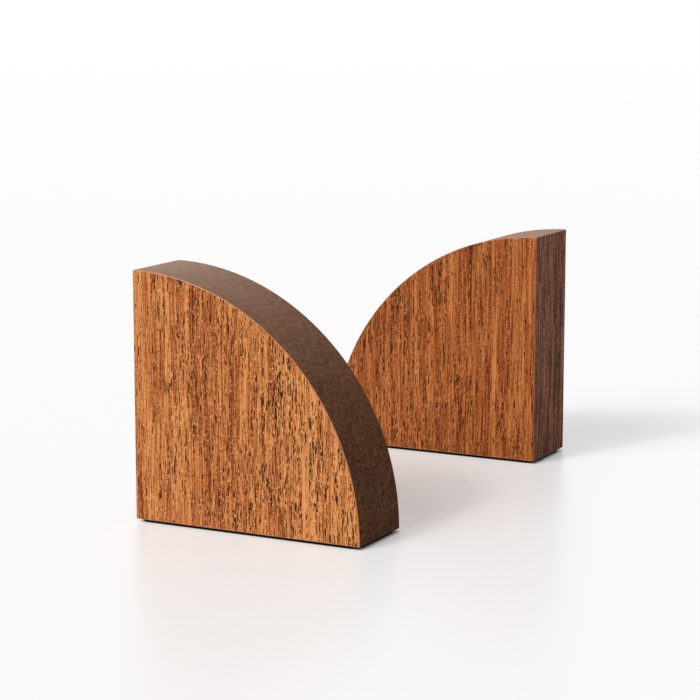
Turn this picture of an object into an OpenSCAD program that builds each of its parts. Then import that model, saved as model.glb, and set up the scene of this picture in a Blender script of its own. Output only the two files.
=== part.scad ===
// A pair of quarter-round wooden book ends, each on a thin non-slip pad.
// Millimetres. +X runs along the broad faces, +Y along the row of books, +Z up.
// The origin is on the shelf, in the middle of the pair.

/* [Blocks] */
// Radius of the quarter-round, which is both the height and the length of a block
block_radius = 130; // [80:1:200]
// Thickness of a block between its two broad faces
block_thickness = 44.5; // [25:0.5:70]
// Width of the small bevel that eases every edge of the wood
edge_bevel = 0.4; // [0.1:0.1:1.5]

/* [Pads] */
// Thickness of the non-slip pad under a block
pad_thickness = 1.35; // [0.8:0.05:3]
// Thickness of the adhesive film between a pad and its block
film_thickness = 0.15; // [0.1:0.05:0.3]
// How far the pad's outline is set in from the wood's outline
pad_inset = 1.5; // [1:0.5:8]
// Corner radius of the pad's outline
pad_corner_radius = 5; // [1:0.5:8]
// How far the adhesive film stops short of the pad's outline
film_inset = 0.5; // [0.2:0.1:1.5]

/* [Row of books] */
// Clear distance between the two broad faces that hold the books
row_gap = 175; // [20:1:400]

/* [Hidden] */
$fn = 96;

// The wood stands on the pad and its film
wood_z = pad_thickness + film_thickness;
// Distance from the middle of the pair to the middle of each block's thickness
block_y = (row_gap + block_thickness) / 2;
// Cutting shapes reach this far past the wood
past = 10;

wood_colour = "#a4602f";
pad_colour = "#141414";
film_colour = "#d8d4c6";

// Both book ends are alike: the front one stands as drawn, the rear one is turned half round
module at_front() {
    translate([0, -block_y, 0]) children();
}

module at_rear() {
    rotate([0, 0, 180]) at_front() children();
}

// Full disc of the quarter-round's arc, standing on edge, with both rims bevelled
module bevelled_disc() {
    half = block_thickness / 2;
    rotate([90, 0, 0])
        rotate_extrude($fn = 256)
            polygon([
                [0, -half],
                [block_radius - edge_bevel, -half],
                [block_radius, -half + edge_bevel],
                [block_radius, half - edge_bevel],
                [block_radius - edge_bevel, half],
                [0, half]
            ]);
}

// Outline of the square that the quarter-round is cut from, with three eased corners:
// the heel at the origin, the top of the upright side and the tip of the foot
module eased_square() {
    polygon([
        [0, edge_bevel],
        [edge_bevel, 0],
        [block_radius - edge_bevel, 0],
        [block_radius, edge_bevel],
        [block_radius, block_radius],
        [edge_bevel, block_radius],
        [0, block_radius - edge_bevel]
    ]);
}

// Section of a plank as thick as the block, its face at the first axis's zero and both edges there eased
module eased_section() {
    half = block_thickness / 2;
    polygon([
        [0, -half + edge_bevel],
        [edge_bevel, -half],
        [block_radius + past, -half],
        [block_radius + past, half],
        [edge_bevel, half],
        [0, half - edge_bevel]
    ]);
}

// One block of wood: arc's centre at its heel, upright side at x = 0, underside at z = 0
module quarter_round() {
    intersection() {
        bevelled_disc();
        // Eases the three edges that run through the thickness
        rotate([90, 0, 0])
            linear_extrude(height = block_thickness + past, center = true)
                eased_square();
        // Eases the two long edges of the upright side
        translate([0, 0, -past])
            linear_extrude(height = block_radius + 2 * past)
                eased_section();
        // Eases the two long edges of the underside
        translate([-past, 0, 0])
            rotate([90, 0, 90])
                linear_extrude(height = block_radius + 2 * past)
                    rotate([0, 0, 90])
                        eased_section();
    }
}

module wooden_block() {
    color(wood_colour)
        translate([-block_radius / 2, 0, wood_z])
            quarter_round();
}

// Flat sheet under the block with round corners, set in from the wood's outline
module sheet(inset, corner, thickness) {
    half_x = block_radius / 2 - inset - corner;
    half_y = block_thickness / 2 - inset - corner;
    union() {
        linear_extrude(height = thickness)
            square([2 * (half_x + corner), 2 * half_y], center = true);
        linear_extrude(height = thickness)
            square([2 * half_x, 2 * (half_y + corner)], center = true);
        for (x = [-half_x, half_x], y = [-half_y, half_y])
            translate([x, y, 0])
                cylinder(h = thickness, r = corner);
    }
}

module pad() {
    color(pad_colour)
        sheet(pad_inset, pad_corner_radius, pad_thickness);
}

module adhesive_film() {
    color(film_colour)
        translate([0, 0, pad_thickness])
            sheet(pad_inset + film_inset, pad_corner_radius - film_inset, film_thickness);
}

module front_block() { at_front() wooden_block(); }
module rear_block() { at_rear() wooden_block(); }
module front_pad() { at_front() pad(); }
module rear_pad() { at_rear() pad(); }
module front_adhesive() { at_front() adhesive_film(); }
module rear_adhesive() { at_rear() adhesive_film(); }

front_block();
rear_block();
front_pad();
rear_pad();
front_adhesive();
rear_adhesive();
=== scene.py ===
# %% [markdown]
# # A pair of quarter-round wooden book ends
#
# Two blocks of reddish brown hardwood stand on a glossy white table. Each one is a quarter of a round, cut
# from a thick board with its grain upright, and rests on a thin black pad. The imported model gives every
# size and place, so this file only adds what a maker's hand and a polish would add: eased edges, the figure
# and the open pores of the wood, the skin of the pads, the table top and the light.

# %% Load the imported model
import math

import bpy
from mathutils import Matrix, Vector


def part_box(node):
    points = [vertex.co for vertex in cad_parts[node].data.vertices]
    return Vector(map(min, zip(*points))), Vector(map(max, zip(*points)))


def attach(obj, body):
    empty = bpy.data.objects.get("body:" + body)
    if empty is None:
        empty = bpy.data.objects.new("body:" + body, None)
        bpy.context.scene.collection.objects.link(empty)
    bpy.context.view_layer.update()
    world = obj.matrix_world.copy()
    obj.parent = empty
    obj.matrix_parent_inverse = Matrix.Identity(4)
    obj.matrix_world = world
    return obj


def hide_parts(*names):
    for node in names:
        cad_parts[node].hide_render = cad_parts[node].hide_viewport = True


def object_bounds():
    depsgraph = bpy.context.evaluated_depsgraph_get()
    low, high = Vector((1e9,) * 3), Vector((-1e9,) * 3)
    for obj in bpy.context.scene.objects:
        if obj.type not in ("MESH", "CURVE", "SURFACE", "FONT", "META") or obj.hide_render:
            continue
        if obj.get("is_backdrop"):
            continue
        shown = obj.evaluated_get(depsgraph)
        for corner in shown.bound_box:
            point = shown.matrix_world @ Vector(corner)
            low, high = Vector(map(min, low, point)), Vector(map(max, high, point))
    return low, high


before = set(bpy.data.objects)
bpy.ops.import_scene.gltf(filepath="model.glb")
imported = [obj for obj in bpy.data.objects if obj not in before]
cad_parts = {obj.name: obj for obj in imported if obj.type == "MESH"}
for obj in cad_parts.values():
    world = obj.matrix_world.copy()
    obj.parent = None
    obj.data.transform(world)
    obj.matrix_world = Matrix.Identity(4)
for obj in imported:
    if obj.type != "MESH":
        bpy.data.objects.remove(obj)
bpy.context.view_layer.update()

print("pieces:", sorted(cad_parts))

# %% [markdown]
# ## Sizes
#
# The blocks are alike, so the radius and the thickness are read once, from the front block's box. Lengths
# in Blender are metres, and a carpenter thinks in millimetres, so a name for one millimetre keeps both
# readable.
#
# Each block has a heel, the bottom corner where its two sawn sides meet, and a foot, where the curve comes
# down. The rear block is the front one turned half round, so its foot points the other way. Everything
# about a block is measured from its heel.

# %% Read the sizes from the model
MM = 0.001
FRONT = ("front_block", 1)
REAR = ("rear_block", -1)

block_low, block_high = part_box("front_block")
RADIUS = block_high.z - block_low.z
THICKNESS = block_high.y - block_low.y


def heel_of(node, foot):
    """foot is 1 where the block's foot points along +X, and -1 where it points along -X."""
    low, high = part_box(node)
    return Vector((low.x if foot > 0 else high.x, (low.y + high.y) / 2, low.z))


print(f"radius {RADIUS / MM:.1f} mm, thickness {THICKNESS / MM:.1f} mm")
print("heels at", [[round(value / MM, 1) for value in heel_of(*block)] for block in (FRONT, REAR)], "mm")

# %% [markdown]
# ## Working with operators
#
# The pieces are modelled with the same operators as by hand, and an operator acts on whatever is selected.
# Loading leaves the model's own pieces selected, so everything is deselected before each new piece. A
# finished piece keeps its place in its mesh and its object at the origin, which is what applying the
# transforms does.

# %% Small helpers for modelling
def deselect_all():
    bpy.ops.object.select_all(action="DESELECT")


def apply_modifier(piece, kind, **settings):
    modifier = piece.modifiers.new(kind.title(), kind)
    for name, value in settings.items():
        setattr(modifier, name, value)
    bpy.ops.object.modifier_apply(modifier=modifier.name)


def settle(piece, name):
    """Names a piece, and puts its place into its mesh."""
    piece.name = name
    piece.data.name = name
    bpy.ops.object.transform_apply(location=True, rotation=True, scale=True)


def measure(piece):
    size = [round(side / MM, 2) for side in piece.dimensions]
    print(piece.name, len(piece.data.vertices), "vertices,", size, "mm")


# %% [markdown]
# ## The wooden blocks
#
# On the bench a block starts as a disc's quarter: a round is turned or routed and sawn twice through its
# middle. The model is made the same way. A cylinder stands on edge with its axis at the heel of the block,
# and two bisect cuts, one upright and one level, throw away three quarters of it and fill the sawn faces.
# The arc has steps so short that its outline stays round even in a close view.
#
# Sandpaper then takes the sharpness off every edge. A bevel that only works on edges of more than 30
# degrees leaves the many shallow steps of the arc alone. The weighted normals keep the broad faces truly
# flat to the eye, while the narrow bevels catch a thin line of light, as eased wood does.

# %% Model one quarter-round block
ARC_STEPS = 320
SAW_TOLERANCE = 0.001 * MM
EASED_EDGE = 0.4 * MM
EASED_STEPS = 3
EDGE_ANGLE = math.radians(30)
SMOOTH_ANGLE = math.radians(50)
LARGEST_FACE_WINS = 100


def saw_away(centre, direction):
    bpy.ops.mesh.select_all(action="SELECT")
    bpy.ops.mesh.bisect(
        plane_co=centre, plane_no=direction, clear_outer=True, use_fill=True, threshold=SAW_TOLERANCE
    )


def make_block(node, foot):
    heel = heel_of(node, foot)
    deselect_all()
    bpy.ops.mesh.primitive_cylinder_add(
        vertices=ARC_STEPS, radius=RADIUS, depth=THICKNESS, location=heel, rotation=(math.pi / 2, 0, 0)
    )
    block = bpy.context.object
    bpy.ops.object.mode_set(mode="EDIT")
    saw_away(heel, (-foot, 0, 0))
    saw_away(heel, (0, 0, -1))
    bpy.ops.object.mode_set(mode="OBJECT")
    settle(block, node + "_wood")
    easing = {"width": EASED_EDGE, "segments": EASED_STEPS}
    apply_modifier(block, "BEVEL", limit_method="ANGLE", angle_limit=EDGE_ANGLE, **easing)
    bpy.ops.object.shade_smooth_by_angle(angle=SMOOTH_ANGLE)
    apply_modifier(block, "WEIGHTED_NORMAL", keep_sharp=True, weight=LARGEST_FACE_WINS)
    measure(block)
    return block


front_wood = make_block(*FRONT)
rear_wood = make_block(*REAR)

# %% [markdown]
# ## The pads and their adhesive
#
# A non-slip pad is a die-cut sheet: a flat piece with round corners, whose rims are rounded a little by the
# die. It starts as a box, its four upright edges are bevelled to the corner radius, and then the two rims.
# The adhesive film on top of it is cut in the same way from much thinner stock, so one function makes both.

# %% Model the pads and the films
PAD_CORNER = 5 * MM
PAD_RIM = 0.25 * MM
FILM_CORNER = 4.5 * MM
FILM_RIM = 0.03 * MM
CORNER_STEPS = 10
RIM_STEPS = 2
SHEET_SMOOTH_ANGLE = math.radians(40)


def select_edges(piece, wanted):
    """Selects the edges whose two ends, as points, satisfy wanted."""
    bpy.ops.object.mode_set(mode="OBJECT")
    points = [vertex.co.copy() for vertex in piece.data.vertices]
    for edge in piece.data.edges:
        first, second = (points[index] for index in edge.vertices)
        edge.select = wanted(first, second)
    bpy.ops.object.mode_set(mode="EDIT")


def make_sheet(node, corner, rim):
    low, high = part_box(node)
    middle = (low + high) / 2
    deselect_all()
    bpy.ops.mesh.primitive_cube_add(size=1, location=middle, scale=high - low)
    sheet = bpy.context.object
    settle(sheet, node + "_sheet")
    bpy.ops.object.mode_set(mode="EDIT")
    bpy.ops.mesh.select_mode(type="EDGE")
    bpy.ops.mesh.select_all(action="DESELECT")
    select_edges(sheet, lambda first, second: abs(first.z - second.z) > (high.z - low.z) / 2)
    bpy.ops.mesh.bevel(offset=corner, segments=CORNER_STEPS, affect="EDGES")
    bpy.ops.mesh.select_all(action="DESELECT")
    select_edges(sheet, lambda first, second: abs(first.z - second.z) < rim / 2)
    bpy.ops.mesh.bevel(offset=rim, segments=RIM_STEPS, affect="EDGES")
    bpy.ops.object.mode_set(mode="OBJECT")
    bpy.ops.object.shade_smooth_by_angle(angle=SHEET_SMOOTH_ANGLE)
    measure(sheet)
    return sheet


front_pad = make_sheet("front_pad", PAD_CORNER, PAD_RIM)
rear_pad = make_sheet("rear_pad", PAD_CORNER, PAD_RIM)
front_film = make_sheet("front_adhesive", FILM_CORNER, FILM_RIM)
rear_film = make_sheet("rear_adhesive", FILM_CORNER, FILM_RIM)

# %% [markdown]
# ## Each piece rides on its book end
#
# The rear book end slides along the row of books, so its wood, pad and film are tied to that body. Each new
# piece stands for the plain solid that it was modelled on.

# %% Tie the pieces to the bodies
for piece, node, slot in (
    (front_wood, "front_block", "wood"),
    (front_pad, "front_pad", "pad"),
    (front_film, "front_adhesive", "adhesive"),
):
    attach(piece, "front_book_end")
    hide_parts(node)
    print(piece.name, "stands for", node)

for piece, node, slot in (
    (rear_wood, "rear_block", "wood"),
    (rear_pad, "rear_pad", "pad"),
    (rear_film, "rear_adhesive", "adhesive"),
):
    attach(piece, "rear_book_end")
    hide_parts(node)
    print(piece.name, "stands for", node)

# %% [markdown]
# ## Building materials from nodes
#
# Every finish here is a small tree of shader nodes. One helper adds a node, sets it up and fills its
# inputs, either with a value or with another node's output, so that each line of a recipe reads as one
# step. Shorter ones do sums on numbers and on vectors, blend two colours, end a recipe with its shader, and
# start a node group with its sockets.

# %% Small helpers for node trees
def add(tree, kind, inputs=None, **settings):
    made = tree.nodes.new("ShaderNode" + kind)
    for name, value in settings.items():
        setattr(made, name, value)
    for name, value in (inputs or {}).items():
        if isinstance(value, bpy.types.NodeSocket):
            tree.links.new(value, made.inputs[name])
        else:
            made.inputs[name].default_value = value
    return made


def calculate(tree, operation, first, second=0.0, clamp=False):
    return add(tree, "Math", {0: first, 1: second}, operation=operation, use_clamp=clamp).outputs[0]


def combine(tree, operation, first, second):
    """Does with vectors and colours what calculate does with numbers."""
    return add(tree, "VectorMath", {0: first, 1: second}, operation=operation).outputs[0]


def add_up(tree, *values):
    total = values[0]
    for value in values[1:]:
        total = calculate(tree, "ADD", total, value)
    return total


def blend_colours(tree, share, first, second):
    return add(tree, "MixRGB", {0: share, 1: first, 2: second}).outputs[0]


def new_material(name):
    material = bpy.data.materials.new(name)
    material.use_nodes = True
    material.node_tree.nodes.clear()
    return material, material.node_tree


def finish_with(tree, inputs):
    add(tree, "OutputMaterial", {0: add(tree, "BsdfPrincipled", inputs).outputs[0]})


def report(*materials):
    for material in materials:
        print(material.name, "has", len(material.node_tree.nodes), "nodes")


def new_group(name, inputs, outputs):
    group = bpy.data.node_groups.new(name, "ShaderNodeTree")
    for direction, sockets in (("INPUT", inputs), ("OUTPUT", outputs)):
        for socket, kind in sockets.items():
            group.interface.new_socket(socket, in_out=direction, socket_type="NodeSocket" + kind)
    given = group.nodes.new("NodeGroupInput").outputs
    result = group.nodes.new("NodeGroupOutput").inputs
    return group, given, result


# %% [markdown]
# ## The grain along the fibres
#
# Wood is a bundle of upright fibres, so its figure is really solid: it runs through the block, and each
# face only shows a cut of it. Flat patterns laid on the faces wouldn't meet at the edges, and a solid
# texture does. It reads a place in millimetres, and squeezes the upright axis so that every spot of noise
# becomes a long upright streak.
#
# Four sizes of noise are added up. The finest are hairlines half a millimetre wide, which is a bundle of
# fibres, and the widest are slow clouds of darker and lighter wood, as broad as a finger.

# %% Streaks from stretched noise
STREAKS = (
    {"per_mm": (1.9, 1.9, 0.03), "weight": 1.35},
    {"per_mm": (0.9, 0.9, 0.008), "weight": 0.7},
    {"per_mm": (0.35, 0.35, 0.006), "weight": 0.7},
    {"per_mm": (0.09, 0.09, 0.004), "weight": 0.6},
)
MIDDLE_TONE = 0.5
NOISE_MEAN = 0.5


def stretched_noise(tree, position, per_mm, detail=1.0, roughness=0.5):
    """Noise whose spots are one over per_mm long on each axis."""
    place = combine(tree, "MULTIPLY", position, per_mm)
    inputs = {"Vector": place, "Scale": 1.0, "Detail": detail, "Roughness": roughness}
    return add(tree, "TexNoise", inputs)


def vary(tree, position, per_mm, weight, detail=1.0, roughness=0.5):
    """Noise around nought, as strong as its weight."""
    noise = stretched_noise(tree, position, per_mm, detail, roughness).outputs[0]
    return calculate(tree, "MULTIPLY", calculate(tree, "SUBTRACT", noise, NOISE_MEAN), weight)


def add_streaks(tree, position):
    return add_up(tree, MIDDLE_TONE, *(vary(tree, position, **streak) for streak in STREAKS))


print("streaks", [round(1 / streak["per_mm"][0], 1) for streak in STREAKS], "mm wide")

# %% [markdown]
# ## Open pores
#
# This kind of hardwood has large vessels. Where the saw opens one lengthwise, it leaves a dark dash, half a
# millimetre wide and from three to ten millimetres long. A Voronoi texture scatters one point in each cell of
# a grid, so the distance to the nearest point gives a ball, and squeezed space turns the ball into a
# spindle. The random colour of the cell decides which cells have a pore at all.
#
# Three sizes of cell give short, middling and long pores. A spindle is black for three quarters of its
# thickness and fades out over the rest, so the dashes stay crisp.

# %% Pores from squeezed cells
PORES = (
    {"cell": (0.68, 0.68, 3.4), "thickness": 0.39},
    {"cell": (0.8, 0.8, 7.5), "thickness": 0.38},
    {"cell": (0.9, 0.9, 17.0), "thickness": 0.31},
)
FULLY_DARK = 0.75


def add_spindles(tree, position, share, cell, thickness):
    """Spindles in a share of the cells. cell is their size in mm, thickness a share of its width."""
    place = combine(tree, "DIVIDE", position, cell)
    cells = add(tree, "TexVoronoi", {"Vector": place, "Scale": 1.0, "Randomness": 1.0})
    chance = add(tree, "SeparateColor", {"Color": cells.outputs["Color"]}).outputs[0]
    chosen = calculate(tree, "LESS_THAN", chance, share)
    limits = {"From Min": thickness * FULLY_DARK, "From Max": thickness, "To Min": 1.0, "To Max": 0.0}
    spindle = add(tree, "MapRange", {"Value": cells.outputs["Distance"], **limits}).outputs[0]
    return calculate(tree, "MULTIPLY", spindle, chosen)


def add_pores(tree, position, share):
    pores = 0.0
    for sort in PORES:
        pores = calculate(tree, "MAXIMUM", pores, add_spindles(tree, position, share, **sort))
    return pores


# %% [markdown]
# ## One piece of wood as a node group
#
# Every face of both blocks is cut from the same sort of wood, so streaks and pores are put together in one
# node group, and each finish sets its own amounts. These are what the group adds to them:
#
# - A drift bends the fibres slowly, because a tree never grows quite straight.
# - Pores crowd in upright bands and in patches, and there are more of them towards the foot of each block.
# - Among them a few short fibres get a pale painted glint, a painted highlight where a fibre would catch
#   the light. They are a second scatter of spindles, moved aside so that they don't land on the pores.
# - Ribbons are broader stripes, which show where the saw meets the year rings squarely.
# - Fuzz breaks the lines up, because sanded fibres end every few millimetres.
# - The foot tone makes the wood lighter or darker from heel to foot.

# %% The grain as a node group
DRIFT_PER_MM = (0.02, 0.02, 0.01)
DRIFT = (4.0, 9.0, 0.0)
BANDS = {"per_mm": (1.1, 1.1, 0.02), "weight": 5.0}
PATCHES = {"per_mm": (0.06, 0.06, 0.03), "weight": 1.2}
CROWDING = 0.45
CROWDING_AT_HEEL = 0.36
# Size of the painted glints: pale spots of painted highlight among the pores.
PAINTED_GLINTS = {"cell": (0.7, 0.7, 2.4), "thickness": 0.34}
PAINTED_GLINTS_ASIDE = (50, 50, 50)
RIBBONS = {"per_mm": (0.9, 0.9, 0.03), "weight": 2.4, "detail": 1.5}
FUZZ = {"per_mm": (2.6, 2.6, 1.1), "weight": 1.5}
TONE_IN_PORES = -0.4


def make_grain():
    amounts = {"Pore Share": "Float", "Ribbons": "Float", "Fuzz": "Float", "Foot Tone": "Float"}
    shown = {"Tone": "Float", "Pores": "Float", "Painted Glints": "Float"}
    group, given, result = new_group("grain", {"Position": "Vector", **amounts}, shown)
    bend = stretched_noise(group, given["Position"], DRIFT_PER_MM).outputs["Color"]
    bend = combine(group, "SUBTRACT", bend, (NOISE_MEAN, NOISE_MEAN, NOISE_MEAN))
    bend = combine(group, "MULTIPLY", bend, DRIFT)
    position = combine(group, "ADD", given["Position"], bend)

    across = add(group, "SeparateXYZ", {0: given["Position"]}).outputs[0]
    towards_foot = calculate(group, "DIVIDE", across, RADIUS / MM, clamp=True)
    crowd = add_up(group, vary(group, position, **BANDS), vary(group, position, **PATCHES), CROWDING)
    at_foot = calculate(group, "ADD", towards_foot, CROWDING_AT_HEEL)
    crowd = calculate(group, "MULTIPLY", crowd, at_foot, clamp=True)
    share = calculate(group, "MULTIPLY", crowd, given["Pore Share"])
    pores = add_pores(group, position, share)
    # Painted glints: pale spots painted in as highlights where short fibres would catch the light.
    painted_glints = add_spindles(group, combine(group, "ADD", position, PAINTED_GLINTS_ASIDE), share, **PAINTED_GLINTS)

    tone = add_up(
        group,
        add_streaks(group, position),
        calculate(group, "MULTIPLY", vary(group, position, **RIBBONS), given["Ribbons"]),
        calculate(group, "MULTIPLY", vary(group, position, **FUZZ), given["Fuzz"]),
        calculate(group, "MULTIPLY", towards_foot, given["Foot Tone"]),
        calculate(group, "MULTIPLY", pores, TONE_IN_PORES),
    )
    group.links.new(tone, result["Tone"])
    group.links.new(pores, result["Pores"])
    group.links.new(painted_glints, result["Painted Glints"])
    return group


grain = make_grain()
print("grain:", len(grain.nodes), "nodes")

# %% [markdown]
# ## Where a block lies in its board
#
# The texture has to move with its block and not with the room, so it reads Object coordinates, and a
# Mapping node turns them into millimetres from the block's own heel: across towards the foot, back through
# the thickness and up. The rear block is turned half round, which is a scale of minus one on both level
# axes. No two places in a board are alike, so each block's pattern is read at a depth of its own.

# %% Millimetres from the heel of a block
DEPTH_IN_BOARD = {FRONT: 152, REAR: 70}


def place_in_board(tree, block):
    node, foot = block
    heel = heel_of(node, foot)
    scale = (foot / MM, foot / MM, 1 / MM)
    location = (-heel.x * scale[0], -heel.y * scale[1] + DEPTH_IN_BOARD[block], -heel.z * scale[2])
    place = add(tree, "TexCoord").outputs["Object"]
    return add(tree, "Mapping", {"Vector": place, "Location": location, "Scale": scale}).outputs[0]


# %% [markdown]
# ## Wood cut along the grain
#
# The broad faces and the upright side show the grain lengthwise. The tone picks a colour between a deep
# reddish brown and a light ochre, pores go nearly black, and the painted glints go pale, as painted
# highlights. Pores are also real little gaps, which the bump gives them: it takes its height from the tone,
# less twice the pores. Oiled wood is nearly matt, with only a faint sheen, so the roughness is high and the
# specular level low, and the paler wood is a little smoother.
#
# No two boards have the same colour, so each block mixes its own. The front one is lighter, with more and
# paler painted glints and more open pores. The rear one is redder and calmer.

# %% The broad faces of each block
PORE_COLOUR = (0.012, 0.004, 0.002, 1)
FACE_SHEEN = 0.075
TONE_LIMITS = (0.1, 0.9)
PORE_DEPTH = 2
GRAIN_RELIEF = 0.1 * MM
FACE_BUMP = 0.25
FACE_ROUGHNESS = {"To Min": 0.5, "To Max": 0.38}


def pick_tone(tree, tone, deep, middle, light):
    picked = add(tree, "ValToRGB", {"Fac": tone})
    first, last = picked.color_ramp.elements
    first.position, last.position = TONE_LIMITS
    first.color = deep
    last.color = light
    picked.color_ramp.elements.new(MIDDLE_TONE).color = middle
    return picked.outputs[0]


def make_long_grain(name, block, widen, sheen, amounts, tones, painted_glint_colour):
    """widen stretches the figure along the thickness, amounts fill the grain group's inputs."""
    material, tree = new_material(name)
    place = combine(tree, "MULTIPLY", place_in_board(tree, block), (1, 1 / widen, 1))
    figure = add(tree, "Group", {"Position": place, **amounts}, node_tree=grain)
    tone, pores, painted_glints = (figure.outputs[socket] for socket in ("Tone", "Pores", "Painted Glints"))
    # Blends in the pale painted glints, which are painted highlights.
    colour = blend_colours(tree, painted_glints, pick_tone(tree, tone, *tones), painted_glint_colour)
    colour = blend_colours(tree, pores, colour, PORE_COLOUR)
    height = calculate(tree, "SUBTRACT", tone, calculate(tree, "MULTIPLY", pores, PORE_DEPTH))
    relief = {"Height": height, "Strength": FACE_BUMP, "Distance": GRAIN_RELIEF}
    bump = add(tree, "Bump", relief).outputs[0]
    rough = add(tree, "MapRange", {"Value": tone, **FACE_ROUGHNESS}).outputs[0]
    shown = {"Base Color": colour, "Roughness": rough, "Normal": bump, "Specular IOR Level": sheen}
    finish_with(tree, shown)
    return material


front_face = make_long_grain(
    "front face grain", FRONT, widen=1, sheen=FACE_SHEEN,
    amounts={"Pore Share": 1.0, "Ribbons": 0, "Fuzz": 0.85, "Foot Tone": 0.12},
    tones=((0.15, 0.026, 0.006, 1), (0.49, 0.147, 0.042, 1), (0.76, 0.33, 0.108, 1)),
    painted_glint_colour=(0.80, 0.41, 0.145, 1),
)
rear_face = make_long_grain(
    "rear face grain", REAR, widen=1, sheen=FACE_SHEEN,
    amounts={"Pore Share": 0.62, "Ribbons": 0, "Fuzz": 0.85, "Foot Tone": -0.06},
    tones=((0.12, 0.022, 0.005, 1), (0.378, 0.102, 0.026, 1), (0.62, 0.23, 0.066, 1)),
    painted_glint_colour=(0.60, 0.27, 0.095, 1),
)
report(front_face, rear_face)

# %% [markdown]
# ## The upright side
#
# The upright side is the narrow face above the heel. It is cut at a right angle to the broad faces, so it
# meets the year rings another way, and its figure is broader: stretched along the thickness, and striped
# with ribbons. It is browner and less red than the broad faces, and hardly shines at all. The rear block's
# upright side faces away from the key light, and its colour is much darker than its broad faces: partly
# edge grain, and partly painted shade.

# %% The upright side of each block
SIDE_SHEEN = 0.03

front_side = make_long_grain(
    "front edge grain", FRONT, widen=1.5, sheen=SIDE_SHEEN,
    amounts={"Pore Share": 0.45, "Ribbons": 0.3, "Fuzz": 0.9, "Foot Tone": 0},
    tones=((0.14, 0.028, 0.008, 1), (0.44, 0.145, 0.046, 1), (0.74, 0.33, 0.135, 1)),
    painted_glint_colour=(0.74, 0.36, 0.18, 1),
)
# The rear upright side faces away from the key light; its darker tones are partly edge grain and partly
# painted shade.
rear_side = make_long_grain(
    "rear edge grain with painted shade", REAR, widen=1.5, sheen=SIDE_SHEEN,
    amounts={"Pore Share": 0.8, "Ribbons": 0.5, "Fuzz": 1.15, "Foot Tone": 0},
    tones=((0.055, 0.010, 0.003, 1), (0.255, 0.061, 0.017, 1), (0.64, 0.29, 0.155, 1)),
    painted_glint_colour=(0.60, 0.30, 0.17, 1),
)
report(front_side, rear_side)

# %% [markdown]
# ## End grain
#
# The curved face cuts across the fibres. End grain drinks far more oil than face grain, so it ends up much
# darker and more matt, with fine strokes that run slantwise, where the year rings meet the saw. The pattern
# has to bend with the face, so it isn't read in plain X and Z but along the arc: the angle round the heel
# times the radius. The distance from the heel is added. On the arc that only shifts the pattern, and on the
# flat underside, which is end grain too, it lets the strokes carry on.
#
# The top of the curve is seen at a grazing angle and shows a pale sheen there, so a painted sheen, a pale
# colour, is mixed in, which grows from nothing at the foot to its full strength at the top.

# %% The end grain as a node group
SLANT = math.radians(40)
STROKES = {"per_mm": (0.26, 1.8, 1.0), "weight": 6.0, "detail": 2.0, "roughness": 0.6}
CLOUDS = {"per_mm": (0.05, 0.05, 1.0), "weight": 0.5}
END_TONE = 0.43
# Strength and rise of the painted sheen, a pale colour on the top of the curve.
TOP_PAINTED_SHEEN = 0.45
PAINTED_SHEEN_RISE = 2.0


def make_end_grain_figure():
    group, given, result = new_group(
        "end grain figure", {"Position": "Vector"}, {"Tone": "Float", "Painted Sheen": "Float"}
    )
    across, through, up = add(group, "SeparateXYZ", {0: given["Position"]}).outputs
    angle = calculate(group, "ARCTAN2", up, across)
    level = add(group, "CombineXYZ", {0: across, 2: up}).outputs[0]
    from_heel = add(group, "VectorMath", {0: level}, operation="LENGTH").outputs["Value"]
    arc = calculate(group, "ADD", calculate(group, "MULTIPLY", angle, RADIUS / MM), from_heel)
    unrolled = add(group, "CombineXYZ", {0: arc, 1: through}).outputs[0]
    turn = {"Vector": unrolled, "Angle": SLANT}
    slanted = add(group, "VectorRotate", turn, rotation_type="Z_AXIS").outputs[0]
    tone = add_up(group, vary(group, slanted, **STROKES), vary(group, unrolled, **CLOUDS), END_TONE)
    group.links.new(tone, result["Tone"])
    # Painted sheen: a pale colour that grows towards the top of the curve, standing for a grazing sheen.
    height = calculate(group, "DIVIDE", angle, math.pi / 2, clamp=True)
    painted_sheen = calculate(group, "MULTIPLY", calculate(group, "POWER", height, PAINTED_SHEEN_RISE), TOP_PAINTED_SHEEN)
    group.links.new(painted_sheen, result["Painted Sheen"])
    return group


end_grain_figure = make_end_grain_figure()
print("end grain figure:", len(end_grain_figure.nodes), "nodes")

# %% [markdown]
# The tone blends a dark brown with a lighter one, and the painted sheen lies over both. The strokes are
# shallower than open pores, so the bump is weaker than on the broad faces, and the finish has next to no
# sheen.

# %% The curved face and the underside
# The colour of the painted sheen on the top of the curve.
PAINTED_SHEEN_COLOUR = (0.58, 0.41, 0.31, 1)
END_SHEEN = 0.02
END_BUMP = 0.15
END_ROUGHNESS = {"To Min": 0.52, "To Max": 0.42}


def make_end_grain(name, block, deep, light):
    material, tree = new_material(name)
    place = place_in_board(tree, block)
    figure = add(tree, "Group", {"Position": place}, node_tree=end_grain_figure)
    tone = figure.outputs["Tone"]
    oiled = blend_colours(tree, tone, deep, light)
    # Mixes the painted sheen into the colour towards the top of the curve.
    colour = blend_colours(tree, figure.outputs["Painted Sheen"], oiled, PAINTED_SHEEN_COLOUR)
    bump = add(tree, "Bump", {"Height": tone, "Strength": END_BUMP, "Distance": GRAIN_RELIEF}).outputs[0]
    rough = add(tree, "MapRange", {"Value": tone, **END_ROUGHNESS}).outputs[0]
    shown = {"Base Color": colour, "Roughness": rough, "Normal": bump, "Specular IOR Level": END_SHEEN}
    finish_with(tree, shown)
    return material


front_end = make_end_grain("front end grain", FRONT, (0.048, 0.016, 0.005, 1), (0.315, 0.120, 0.046, 1))
rear_end = make_end_grain("rear end grain", REAR, (0.046, 0.015, 0.005, 1), (0.31, 0.112, 0.042, 1))
report(front_end, rear_end)

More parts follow.
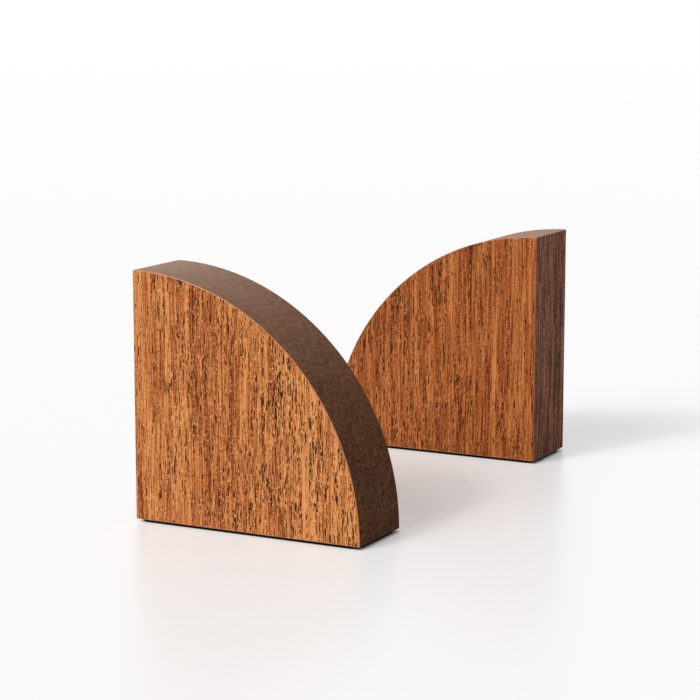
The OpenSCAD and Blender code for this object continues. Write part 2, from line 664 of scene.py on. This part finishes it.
# %% [markdown]
# ## Eased edges
#
# Sanding an edge cuts through the darkened skin of the wood, and hands rub it further, so an eased edge is
# plainer and shinier than the faces beside it. Its paler colour is partly that sanded wood and partly a
# painted highlight along the edge. The bevels get this finish of their own, and along the top of the arc
# they catch the key light as a thin bright line.

# %% The rubbed wood of the eased edges
EDGE_SHEEN = 0.35
EDGE_ROUGHNESS = 0.25


def make_eased_edge(name, block, deep, light):
    material, tree = new_material(name)
    place = place_in_board(tree, block)
    tone = add(tree, "Group", {"Position": place}, node_tree=grain).outputs["Tone"]
    colour = blend_colours(tree, tone, deep, light)
    shown = {"Base Color": colour, "Roughness": EDGE_ROUGHNESS, "Specular IOR Level": EDGE_SHEEN}
    finish_with(tree, shown)
    return material


# The pale edge colours are partly sanded wood and partly a painted highlight along the edge.
front_edge = make_eased_edge("front eased edge with painted highlight", FRONT, (0.36, 0.125, 0.04, 1), (0.60, 0.26, 0.095, 1))
rear_edge = make_eased_edge("rear eased edge with painted highlight", REAR, (0.25, 0.08, 0.025, 1), (0.55, 0.22, 0.07, 1))
report(front_edge, rear_edge)

# %% [markdown]
# ## Which face gets which finish
#
# A face's own direction says what it is. Faces that look along the thickness are the broad ones, and the
# upright side looks away from the foot. Faces whose middle lies a radius away from the heel are the curved
# end grain, and so is the underside. What is left are the narrow faces of the bevels.

# %% Give every face of a block its finish
NEARLY_ONE = 0.999
BROAD, SIDE, END, EDGE = range(4)


def finish_of(face, heel, foot):
    outwards = face.center - heel
    outwards.y = 0
    on_arc = outwards.length > RADIUS * NEARLY_ONE and abs(face.normal.y) < 1 - NEARLY_ONE
    if abs(face.normal.y) > NEARLY_ONE:
        return BROAD
    if face.normal.x * foot < -NEARLY_ONE:
        return SIDE
    if on_arc or face.normal.z < -NEARLY_ONE:
        return END
    return EDGE


def paint_block(wood, block, finishes):
    node, foot = block
    heel = heel_of(node, foot)
    wood.data.materials.clear()
    for finish in finishes:
        wood.data.materials.append(finish)
    for face in wood.data.polygons:
        face.material_index = finish_of(face, heel, foot)
    used = [face.material_index for face in wood.data.polygons]
    print(wood.name, "faces of each finish:", [used.count(index) for index in (BROAD, SIDE, END, EDGE)])


paint_block(front_wood, FRONT, (front_face, front_side, front_end, front_edge))
paint_block(rear_wood, REAR, (rear_face, rear_side, rear_end, rear_edge))

# %% [markdown]
# ## Rubber and adhesive
#
# The pad is a black foam rubber, so matt that it hardly shows in the gap below the wood, with a fine grain
# of its own. Its colour is far darker than rubber itself: partly the black rubber and partly painted shade
# for the gap below the wood. The adhesive film is a milky double-sided tape. Both only differ in colour and
# gloss, so one recipe serves for both.

# %% The pads and the films
SPECKS_PER_METRE = (1600, 1600, 1600)
SPECK_DETAIL = 2.0
SPECK_BUMP = 0.4


def make_fine_grained(name, colour, shade, roughness, sheen):
    material, tree = new_material(name)
    place = add(tree, "TexCoord").outputs["Object"]
    specks = stretched_noise(tree, place, SPECKS_PER_METRE, SPECK_DETAIL).outputs[0]
    mixed = blend_colours(tree, specks, shade, colour)
    relief = {"Height": specks, "Strength": SPECK_BUMP, "Distance": GRAIN_RELIEF}
    bump = add(tree, "Bump", relief).outputs[0]
    shown = {"Base Color": mixed, "Roughness": roughness, "Normal": bump, "Specular IOR Level": sheen}
    finish_with(tree, shown)
    return material


def paint(piece, material):
    piece.data.materials.clear()
    piece.data.materials.append(material)


# The pad's near-black is partly black rubber and partly painted shade for the gap under the wood.
rubber_and_painted_shade = make_fine_grained(
    "pad rubber and painted shade", colour=(0.005, 0.005, 0.005, 1), shade=(0.001, 0.001, 0.001, 1), roughness=0.95, sheen=0.03
)
tape = make_fine_grained(
    "adhesive film", colour=(0.70, 0.68, 0.60, 1), shade=(0.55, 0.53, 0.46, 1), roughness=0.4, sheen=0.3
)
for piece in (front_pad, rear_pad):
    paint(piece, rubber_and_painted_shade)
for piece in (front_film, rear_film):
    paint(piece, tape)
report(rubber_and_painted_shade, tape)

# %% [markdown]
# ## The table top
#
# The book ends stand on a white table with a soft gloss, under a seamless white background. To the camera
# the table should be exactly as white as the background, with only shadows and reflections on it. So half
# of its white is given as a glow, and the other half is lit by the lamps, which is the part that a shadow
# takes away. A Fresnel mix lays a soft reflection over it, stronger at a grazing angle, as in lacquer.
#
# Beside each pad, under the overhang of the block, is a gap that no light reaches. An Ambient Occlusion
# node looks out from the table for a few millimetres, on the side where the key light is, and a smooth step
# turns what it finds into a black line on the shadow side of the block. The lit side stays white.
#
# Only the camera and reflections see this table. Other rays meet a plain grey one, so that the white glow
# doesn't light the wood from below.

# %% A glossy white table
WHITE = 0.956
SUNLIT = 0.516
TABLE_GLOW = 0.483
BOUNCE = 0.35
LACQUER_IOR = 1.33
LACQUER_ROUGHNESS = 0.33
CONTACT_REACH = 4 * MM
CONTACT_SAMPLES = 8
CLOSED, OPEN = 0.2, 0.9
TABLE_SIZE = 60


def direction_to(azimuth, elevation):
    """Azimuth 0 is in front, along -Y, and grows towards +X."""
    level = math.cos(elevation)
    return Vector((math.sin(azimuth) * level, -math.cos(azimuth) * level, math.sin(elevation)))


def seen_rays(tree):
    """One for rays from the camera and for what shows in gloss and glass, and nought for the rest."""
    path = add(tree, "LightPath").outputs
    mirrored = calculate(tree, "MAXIMUM", path["Is Glossy Ray"], path["Is Transmission Ray"])
    return calculate(tree, "MAXIMUM", path["Is Camera Ray"], mirrored)


TOWARDS_KEY = direction_to(math.radians(-21.7), math.radians(39.4))


def find_contact(tree):
    """Nought under the overhang of a block, on the side away from the key light, and one in the open."""
    towards_key = add(tree, "CombineXYZ", {0: TOWARDS_KEY.x, 1: TOWARDS_KEY.y, 2: TOWARDS_KEY.z}).outputs[0]
    reach = {"Distance": CONTACT_REACH, "Normal": towards_key}
    openness = add(tree, "AmbientOcclusion", reach, samples=CONTACT_SAMPLES).outputs["AO"]
    limits = {"Value": openness, "From Min": CLOSED, "From Max": OPEN}
    return add(tree, "MapRange", limits, interpolation_type="SMOOTHSTEP").outputs[0]


def make_table_finish():
    material, tree = new_material("table top")
    glow = add(tree, "Emission", {"Color": (1, 1, 1, 1), "Strength": TABLE_GLOW}).outputs[0]
    lit = add(tree, "BsdfDiffuse", {"Color": (SUNLIT, SUNLIT, SUNLIT, 1)}).outputs[0]
    pale = add(tree, "AddShader", {0: glow, 1: lit}).outputs[0]
    shaded = add(tree, "MixShader", {0: find_contact(tree), 2: pale}).outputs[0]
    lacquer = {"Color": (1, 1, 1, 1), "Roughness": LACQUER_ROUGHNESS}
    gloss = add(tree, "BsdfGlossy", lacquer, distribution="MULTI_GGX").outputs[0]
    shine = add(tree, "Fresnel", {"IOR": LACQUER_IOR}).outputs[0]
    seen_top = add(tree, "MixShader", {0: shine, 1: shaded, 2: gloss}).outputs[0]
    bounce = add(tree, "BsdfDiffuse", {"Color": (BOUNCE, BOUNCE, BOUNCE, 1)}).outputs[0]
    surface = add(tree, "MixShader", {0: seen_rays(tree), 1: bounce, 2: seen_top}).outputs[0]
    add(tree, "OutputMaterial", {"Surface": surface})
    return material


deselect_all()
bpy.ops.mesh.primitive_plane_add(size=TABLE_SIZE, location=(0, 0, 0))
table = bpy.context.object
table.name = "table_top"
table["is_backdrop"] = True
paint(table, make_table_finish())
print(table.name, TABLE_SIZE, "m wide, contact line within", round(CONTACT_REACH / MM), "mm of each pad")

# %% [markdown]
# ## The room
#
# The background is the world itself. The camera and the reflections see it white, while the light that it
# sheds on the blocks is only a dim, even fill, so that the wood keeps its own colour.

# %% A white room with a dim fill
FILL = 0.25

world = bpy.data.worlds.new("studio")
bpy.context.scene.world = world
world.use_nodes = True
tree = world.node_tree
tree.nodes.clear()
backdrop = add(tree, "Background", {"Color": (WHITE, WHITE, WHITE, 1)}).outputs[0]
fill = add(tree, "Background", {"Color": (FILL, FILL, FILL, 1)}).outputs[0]
surface = add(tree, "MixShader", {0: seen_rays(tree), 1: fill, 2: backdrop}).outputs[0]
add(tree, "OutputWorld", {"Surface": surface})
print("white", WHITE, "fill", FILL)

# %% [markdown]
# ## The key light
#
# One large soft lamp stands to the left, in front and above. Such a lamp is brightest in its middle and
# fades towards its rim, and a single lamp in Blender is equally bright all over. Two suns that shine from
# the same direction come close to it: a narrow one draws the long, readable part of each shadow, and a wide
# one makes it deep near the block and soft further out. Both are far away compared with the blocks, so only
# the angle across each one matters, and not where it stands.

# %% Two suns make one soft key light
SUNS = (
    {"name": "key_core", "strength": 0.9, "width": math.radians(8)},
    {"name": "key_spread", "strength": 2.4, "width": math.radians(34)},
)

for sun in SUNS:
    bpy.ops.object.light_add(type="SUN", location=TOWARDS_KEY)
    key = bpy.context.object
    key.name = sun["name"]
    key.data.energy = sun["strength"]
    key.data.angle = sun["width"]
    key.rotation_euler = TOWARDS_KEY.to_track_quat("Z", "Y").to_euler()
    print(key.name, "strength", sun["strength"], "width", round(math.degrees(sun["width"])), "degrees")

# %% [markdown]
# ## The camera
#
# The camera looks a little down on the pair from the front right, through a long lens, so that the upright
# edges stay nearly parallel. It aims near the middle of the whole model, which is measured and not guessed.

# %% Aim the camera
DISTANCE = 1.2673
LENS = 118.32
SENSOR_WIDTH = 36
AIM_OFFSET = Vector((-7.6, -2.2, 9.1)) * MM
TOWARDS_CAMERA = direction_to(math.radians(27.395), math.radians(9.796))

low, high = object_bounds()
aim = (low + high) / 2 + AIM_OFFSET
bpy.ops.object.camera_add(location=aim + TOWARDS_CAMERA * DISTANCE)
camera = bpy.context.object
camera.rotation_euler = TOWARDS_CAMERA.to_track_quat("Z", "Y").to_euler()
camera.data.sensor_width = SENSOR_WIDTH
camera.data.lens = LENS
camera.data.clip_end = TABLE_SIZE
bpy.context.scene.camera = camera
bpy.context.scene.view_settings.view_transform = "Standard"
print("camera at", [round(value, 3) for value in camera.location])
